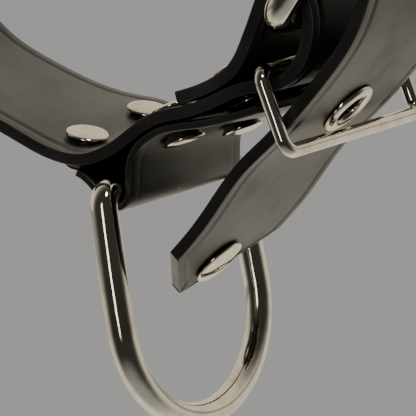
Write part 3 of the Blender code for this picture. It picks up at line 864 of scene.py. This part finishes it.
@dataclass
class Fasteners:
    """The caps that rivet the layers together, the tail's stud and its eyelets.

    The fold's layer is how far above its rivets the strap's folded-back end lies, in millimetres.
    """

    strap: Strap
    saddle: Saddle
    left: CapRow = CapRow(-10.5, 9.9, (0.1, 0.25), 1.3 * MM, (0.5 * MM, 0.15 * MM), (0.75 * MM, 0.45 * MM))
    right: CapRow = CapRow(13.9, 12.35, (0.07, 0.2), 1.8 * MM, (0.2 * MM, 0.9 * MM), (0.5 * MM, 1.2 * MM))
    fold: CapRow = CapRow(30.2, 15.05, (0.06, 0.2), 0.0, (0.7 * MM, 0.0), (1.0 * MM, GAP))
    fold_layer: float = 3.1
    row_half: float = 12.0 * MM
    rivet_cap: tuple = (4.75 * MM, 1.3 * MM)
    stud_cap: tuple = (6.2 * MM, 1.6 * MM)
    shank: float = 1.8 * MM
    eyelet_radius: float = 6.5 * MM
    hole_radius: float = 3.4 * MM
    barrel_radius: float = 4.2 * MM
    eyelet_height: float = 1.0 * MM
    pitch: float = 48.0 * MM
    stud_to_tip: float = 9.9 * MM

    def cap(self, radius: float, height: float, seat: float, sink: float) -> np.ndarray:
        """Draw one cap's profile from its seat to near its pole.

        The crown rises from the rim as one less the share of the radius to the power of 2.4; the rim rolls
        under as five twelfths of a circle, and the skirt goes down into the rubber.

        Args:
            radius: The cap's radius.
            height: Its height.
            seat: Where it starts along the axis, away from the rubber.
            sink: How far its skirt reaches back to the rubber.

        Returns:
            Rows of radius and height.
        """
        roll = 0.26 * height
        turn = np.linspace(-np.pi / 2, np.pi / 3, 9)
        rim = np.stack([radius - roll + roll * np.cos(turn), seat + roll * (1 + np.sin(turn))], axis=1)
        share = np.linspace(0.93, 0.02, 14)
        lift = rim[-1, 1] + (seat + height - rim[-1, 1]) * (1 - share**2.4)
        crown = np.stack([radius * share, lift], axis=1)
        skirt = np.array([[radius - 2.6 * roll, seat - sink], [radius - 2.0 * roll, seat - sink * 0.5]])
        return np.concatenate([skirt, rim, crown])

    def rivet(self, name: str, s: float, y: float, low: float, high: float, cap: tuple,
              sinks: tuple) -> bpy.types.Object:
        """Build two caps on one shank, across the layers at an arc length and a place across the strap.

        Args:
            name: The piece's name.
            s: The arc length.
            y: The place across the strap.
            low: How far the inner cap's seat lies inwards, less the gap.
            high: How far the outer cap's seat lies outwards, less the gap.
            cap: The caps' radius and height.
            sinks: How far the inner and the outer cap's skirts reach back to the rubber.

        Returns:
            The piece.
        """
        middle, _, across, out = self.strap.frame_at(s)
        low, high = low + GAP, high + GAP
        upper = self.cap(*cap, high, sinks[1])
        lower = self.cap(*cap, low, sinks[0]) * [1.0, -1.0]
        profile = np.concatenate([lower[::-1], [[self.shank, -low], [self.shank, high]], upper])
        return Lathe().build(name, profile, middle + across * y, out, False)

    def row(self, name: str, first: int, row: CapRow, low: float, high: float) -> dict:
        """Build the two rivets of a row, the near one first.

        Args:
            name: The solids' name, less its number.
            first: The near one's number.
            row: Where they sit.
            low: How far the rubber reaches inwards there.
            high: How far it reaches outwards.

        Returns:
            A dictionary from each solid's name to its piece.
        """
        s = self.strap.mark(row.x, row.z, *row.window) + row.shift
        return {f"{name}_{number}": self.rivet(f"cap_{name}_{number}", s, side.value * self.row_half,
                                               low + row.seats[0], high + row.seats[1], self.rivet_cap,
                                               row.sinks)
                for number, side in enumerate(Side, first)}

    def eyelet(self, name: str, s: float) -> bpy.types.Object:
        """Build a flanged eyelet: a rolled flange outside, a barrel and a flat washer inside.

        Args:
            name: The piece's name.
            s: The arc length.

        Returns:
            The piece.
        """
        middle, _, _, out = self.strap.frame_at(s)
        half = self.strap.thickness / 2 + GAP
        wide, tall, hole = self.eyelet_radius, self.eyelet_height, self.hole_radius
        turn = np.linspace(0.0, np.pi, 13)
        span = (wide - hole) / 2
        flange = np.stack([hole + span - span * np.cos(turn), half + tall * np.sin(turn) ** 0.8], axis=1)
        back = np.array([[0.86 * wide, -half], [0.84 * wide, -half - 0.45 * tall],
                         [0.78 * wide, -half - 0.6 * tall], [hole + 0.4 * MM, -half - 0.6 * tall],
                         [hole, -half - 0.25 * tall]])
        skirt = np.array([[wide - 0.5 * MM, half - GAP], [self.barrel_radius, half - GAP],
                          [self.barrel_radius, -half + GAP], [0.83 * wide, -half + GAP]])
        return Lathe().build(name, np.concatenate([flange, skirt, back]), middle, out, True)

    def build(self) -> tuple:
        """Build every fastener and the tools that cut their holes in the strap.

        Returns:
            A dictionary from each solid's name to its piece, and the list of tools.
        """
        strap, half = self.strap, self.strap.thickness / 2
        layers = half + self.saddle.gap + self.saddle.thickness
        pieces = self.row("saddle_rivet", 1, self.left, half, layers)
        pieces |= self.row("saddle_rivet", 3, self.right, half, layers)
        middle, _, _, out = strap.frame_at(strap.mark(self.fold.x, self.fold.z, *self.fold.window))
        x, z = (middle - BAR)[[0, 2]] / MM
        over = strap.mark(x, z + self.fold_layer, 0.0, 0.03)
        rise = float(np.dot(strap.frame_at(over)[0] - middle, -out))
        pieces |= self.row("fold_rivet", 1, self.fold, rise + half, half)
        stud = strap.length[-1] - self.stud_to_tip
        pieces["tail_stud"] = self.rivet("cap_tail_stud", stud, 0.0, half, half, self.stud_cap, (GAP, GAP))
        tools = []
        for number in (1, 2):
            s = stud - self.pitch * number
            pieces[f"tail_eyelet_{number}"] = self.eyelet(f"ring_tail_eyelet_{number}", s)
            middle, _, _, out = strap.frame_at(s)
            tools.append(drum(f"eyelet_hole_{number}", middle, out, self.barrel_radius - 0.05 * MM, 6.0 * MM))
        return pieces, tools


@dataclass
class DRing:
    """The D-ring: a straight bar, tight corners, bowed legs and a round foot."""

    wire: float = 6.0 * MM
    half_top: float = 27.0 * MM
    half_wide: float = 28.5 * MM
    widest: float = 30.0 * MM
    depth: float = 54.0 * MM
    corner: float = 4.5 * MM

    def path(self) -> np.ndarray:
        """Draw half the ring's middle line and mirror it.

        The leg's reach grows as a sine to its widest depth, and the foot is a quarter ellipse.

        Returns:
            Rows of coordinates round the ring.
        """
        turn = np.linspace(0.0, np.pi / 2, 12)
        bar = np.stack([np.linspace(0.0, self.half_top - self.corner, 10)[:-1], np.zeros(9)], axis=1)
        bend = np.stack([self.half_top - self.corner + self.corner * np.sin(turn),
                         -self.corner + self.corner * np.cos(turn)], axis=1)
        share = np.linspace(0.0, 1.0, 16)[1:-1]
        leg = np.stack([self.half_top + (self.half_wide - self.half_top) * np.sin(share * np.pi / 2),
                        -self.corner - (self.widest - self.corner) * share], axis=1)
        turn = np.linspace(0.0, np.pi / 2, 30)
        foot = np.stack([self.half_wide * np.cos(turn),
                         -self.widest - (self.depth - self.widest) * np.sin(turn)], axis=1)
        half = np.concatenate([bar, bend, leg, foot])
        flat = np.concatenate([half, half[-2:0:-1] * [-1.0, 1.0]])
        return np.stack([np.zeros(len(flat)), flat[:, 0], flat[:, 1]], axis=1) + BAR

    def build(self) -> bpy.types.Object:
        """Build the ring."""
        return Wire(self.wire / 2, 36).build("nickel_d_ring", self.path(), (1.0, 0.0, 0.0), True)


@dataclass
class WireLink:
    """A rectangle of wire with round corners that stands on two bars along Y, all in millimetres."""

    name: str
    start: tuple
    end: tuple
    near: float
    far: float
    corner: float
    wire: float

    def build(self) -> bpy.types.Object:
        """Lay four quarter circles at the corners of the rectangle and carry the wire through them.

        Returns:
            The piece.
        """
        middle, half_width = (self.near + self.far) / 2, (self.far - self.near) / 2
        start = np.array([self.start[0], middle, self.start[1]]) * MM + BAR
        end = np.array([self.end[0], middle, self.end[1]]) * MM + BAR
        along, across = unit(end - start), np.array([0.0, 1.0, 0.0])
        corners = []
        for base, inward, side, first in ((start, 1, 1, 180), (end, -1, 1, 90), (end, -1, -1, 0),
                                          (start, 1, -1, -90)):
            centre = base + along * self.corner * MM * inward
            centre = centre + across * (half_width - self.corner) * MM * side
            turn = np.radians(np.linspace(first, first - 90, 10))[:, None]
            corners.append(centre + (along * np.cos(turn) + across * np.sin(turn)) * self.corner * MM)
        path = self._even(np.concatenate(corners))
        return Wire(self.wire * MM / 2).build(self.name, path, tuple(np.cross(along, across)), True)

    @staticmethod
    def _even(path: np.ndarray) -> np.ndarray:
        """Put more points on the straight stretches, so that no face is long and thin.

        Args:
            path: The points of the corners.

        Returns:
            The points with those between.
        """
        ring = np.concatenate([path, path[:1]])
        length = arc_length(ring)
        extra = np.linspace(0.0, length[-1], 90)[:-1]
        spots = np.unique(np.round(np.concatenate([length[:-1], extra]), 5))
        spots = spots[np.concatenate([[True], np.diff(spots) > 0.15 * MM])]
        return np.stack([np.interp(spots, length, column) for column in ring.T], axis=1)


@dataclass
class Prong:
    """The buckle's prong: wire hooked round the heel bar, through the strap's slot and over the outer bar."""

    wire: float = 3.0 * MM
    frame_wire: float = 6.0 * MM
    heel: tuple = (48.2, 29.4)
    route: tuple = ((53.5, 37.0), (59.3, 41.6), (64.6, 45.9), (70.9, 47.9), (76.8, 49.7), (81.0, 53.8),
                    (83.4, 58.4), (84.8, 62.4))
    frame_length: float = 44.0
    slot_centre: tuple = (47.7, 32.2)
    slot_radius: float = 10.4 * MM
    slot_half: float = 4.0 * MM

    def slot(self) -> bpy.types.Object:
        """Build the tool that cuts the strap's slot where the prong goes through the fold."""
        centre = np.array([self.slot_centre[0], 0.0, self.slot_centre[1]]) * MM + BAR
        return drum("prong_slot", centre, np.array([0.0, 1.0, 0.0]), self.slot_radius, self.slot_half)

    def frame(self) -> bpy.types.Object:
        """Build the buckle's frame, which leans at 45 degrees from its heel bar."""
        outer = tuple(np.array(self.heel) + self.frame_length * np.sqrt(0.5))
        return WireLink("nickel_buckle", self.heel, outer, near=-28.0, far=28.0, corner=5.0,
                        wire=self.frame_wire / MM).build()

    def build(self) -> bpy.types.Object:
        """Carry the wire round the heel bar and along its route.

        Returns:
            The piece.
        """
        wrap = self.frame_wire / 2 + GAP + self.wire / 2
        turn = np.radians(np.arange(350, 99, -25))
        hook = np.array(self.heel) * MM + np.stack([np.cos(turn), np.sin(turn)], axis=1) * wrap
        line = natural_curve(np.concatenate([hook, np.array(self.route) * MM]), 0.8 * MM)
        path = np.stack([line[:, 0], np.zeros(len(line)), line[:, 1]], axis=1) + BAR
        return Wire(self.wire / 2, 24).build("nickel_prong", path, (0.0, 1.0, 0.0), False)


@dataclass
class Studio:
    """The pale floor far below the hanging belt, the lights and the camera."""

    floor_height: float = -0.62
    floor_half: float = 60.0
    floor_colour: tuple = (0.566, 0.594, 0.664, 1.0)
    floor_fleck: float = 0.97
    room: float = 0.3405
    dim_room: float = 0.04
    window: float = 0.5
    ground: float = 0.3
    window_rise: tuple = (0.0008, 0.012)
    window_spread: tuple = (-0.15, 0.4)
    ground_drop: tuple = (0.45, 0.9)
    room_spread: tuple = (-0.5, 0.5)
    strip_place: tuple = (0.48, -1.52, 0.0)
    strip_size: tuple = (0.24, 1.15)
    strip_power: float = 5.0
    strip_colour: tuple = (1.0, 0.95, 0.86)
    key_from: tuple = (0.75, -0.35, 0.9)
    key_spread: float = 9.0
    key_power: float = 1.0
    key_colour: tuple = (1.0, 0.93, 0.82)
    bright_side: tuple = (-0.54, 0.84, 0.0)
    room_colour: tuple = (1.0, 1.0, 1.0, 1.0)
    window_colour: tuple = (1.0, 0.93, 0.77, 1.0)
    aim: tuple = (-0.0107, 0.0, -0.3085)
    azimuth: float = 33.1
    elevation: float = 7.17
    roll: float = -10.02
    distance: float = 0.5
    focal: float = 2265.0
    centre: tuple = (190.35, 287.14)
    picture: float = 416.0
    sensor: float = 36.0

    def floor(self) -> None:
        """Lay the floor, a large square of plain pale paper, which isn't mirrored in the metal."""
        reach, height = self.floor_half, self.floor_height
        points = np.array([[-reach, -reach, height], [reach, -reach, height],
                           [reach, reach, height], [-reach, reach, height]])
        piece = make_piece("floor", points, [[0, 1, 2, 3]])
        graph = Graph(bpy.data.materials.new("pale paper"))
        fleck = graph.noise(graph.coordinates(), 3.0, 3.0)
        shade = (*(self.floor_fleck * part for part in self.floor_colour[:3]), 1.0)
        graph.output("Principled BSDF", {"Roughness": 0.9, "Specular IOR Level": 0.0,
                                         "Base Color": graph.blend(fleck, self.floor_colour, shade)})
        piece.data.materials.append(graph.holder)
        piece.visible_glossy = False

    def hang_light(self, data: bpy.types.Light, place: tuple, towards: Vector) -> None:
        """Hang a light.

        Args:
            data: The light.
            place: Where it hangs.
            towards: The direction in which it shines.
        """
        lamp = bpy.data.objects.new(data.name, data)
        lamp.location = place
        lamp.rotation_euler = towards.to_track_quat("-Z", "Y").to_euler()
        bpy.context.collection.objects.link(lamp)

    def world(self) -> None:
        """Fill the room with an even light, dimmer on the photographer's side and brighter behind.

        The strength is a sum of smooth steps of the direction's part along the view and of its height; at
        the horizon it is the floor's.
        """
        world = bpy.data.worlds.new("room")
        graph = Graph(world)
        place = graph.coordinates("Generated")
        sockets = {0: place, 1: self.bright_side}
        product = graph.node("ShaderNodeVectorMath", {"operation": "DOT_PRODUCT"}, sockets)
        along = Value(graph, product.outputs["Value"])
        height = Value(graph, graph.node("ShaderNodeSeparateXYZ", {}, {0: place}).outputs["Z"])
        window = graph.ramp(height * height, *self.window_rise) * graph.ramp(along, *self.window_spread)
        ground = graph.ramp(0.0 - height, *self.ground_drop)
        level = graph.ramp(along, *self.room_spread) * (self.room - self.dim_room) + self.dim_room
        graph.output("Background", {"Strength": level + window * self.window + ground * self.ground,
                                    "Color": graph.blend(window, self.room_colour, self.window_colour)})
        bpy.context.scene.world = world

    def lights(self) -> None:
        """Hang the two lights.

        A tall narrow one to the left of the photographer draws the streaks on the wire, and soft sunlight
        falls the same all over the floor.
        """
        strip = bpy.data.lights.new("strip", "AREA")
        strip.shape, strip.size, strip.size_y = "RECTANGLE", *self.strip_size
        strip.energy, strip.color = self.strip_power, self.strip_colour
        belt = Vector((*self.aim[:2], self.strip_place[2]))
        self.hang_light(strip, self.strip_place, belt - Vector(self.strip_place))
        key = bpy.data.lights.new("key", "SUN")
        key.angle, key.energy, key.color = radians(self.key_spread), self.key_power, self.key_colour
        self.hang_light(key, (0.0, 0.0, 0.0), -Vector(self.key_from))

    def camera(self) -> None:
        """Set the camera where the photograph was taken, turned so that its axis meets the frame's middle."""
        azimuth, elevation, roll = (radians(v) for v in (self.azimuth, self.elevation, self.roll))
        back = np.array([np.sin(azimuth) * np.cos(elevation), -np.cos(azimuth) * np.cos(elevation),
                         np.sin(elevation)])
        right = np.array([np.cos(azimuth), np.sin(azimuth), 0.0])
        up = np.cross(back, right)
        side = right * np.cos(roll) + up * np.sin(roll)
        top = -right * np.sin(roll) + up * np.cos(roll)
        half = self.picture / 2
        shift = ((half - self.centre[0]) / self.focal, (self.centre[1] - half) / self.focal)
        axis = unit(back - side * shift[0] - top * shift[1])
        side = unit(side - axis * np.dot(side, axis))
        top = np.cross(axis, side)
        data = bpy.data.cameras.new("view")
        data.sensor_width = self.sensor
        stretch = float(np.sqrt(1 + shift[0] ** 2 + shift[1] ** 2))
        data.lens = self.sensor * self.focal * stretch / self.picture
        data.clip_start, data.clip_end = 0.01, 100.0
        camera = bpy.data.objects.new("view", data)
        place = np.array(self.aim) + back * self.distance
        rows = [[side[k], top[k], axis[k], place[k]] for k in range(3)]
        camera.matrix_world = Matrix([*rows, [0, 0, 0, 1]])
        bpy.context.collection.objects.link(camera)
        bpy.context.scene.camera = camera

    def build(self) -> None:
        """Set up the whole studio."""
        self.camera()
        self.floor()
        self.world()
        self.lights()


def main() -> None:
    """Build the belt's pieces in order and dress them."""
    Studio().build()
    rubber, nickel = RubberFinish().material(), NickelFinish().material()
    strap = Strap()
    saddle = Saddle(strap)
    fasteners, tools = Fasteners(strap, saddle).build()
    prong = Prong()
    tools.append(prong.slot())
    band = strap.build()
    cut_holes(band, tools)
    smooth(band, 40.0)
    for node, piece in {"strap": band, "ring_saddle": saddle.build()}.items():
        finish_piece(piece, rubber, "belt", node)
    finish_piece(DRing().build(), nickel, "ring", "d_ring")
    keeper = WireLink("nickel_keeper", start=(41.7, 20.0), end=(45.0, 3.1), near=-25.5, far=34.0, corner=3.0,
                      wire=3.0)
    metal = {"keeper_ring": keeper.build(), "buckle_frame": prong.frame(), "buckle_prong": prong.build()}
    for node, piece in (metal | fasteners).items():
        finish_piece(piece, nickel, "belt", node)


if __name__ == "__main__":
    logging.basicConfig(level=logging.INFO, format="%(name)s: %(message)s")
    main()
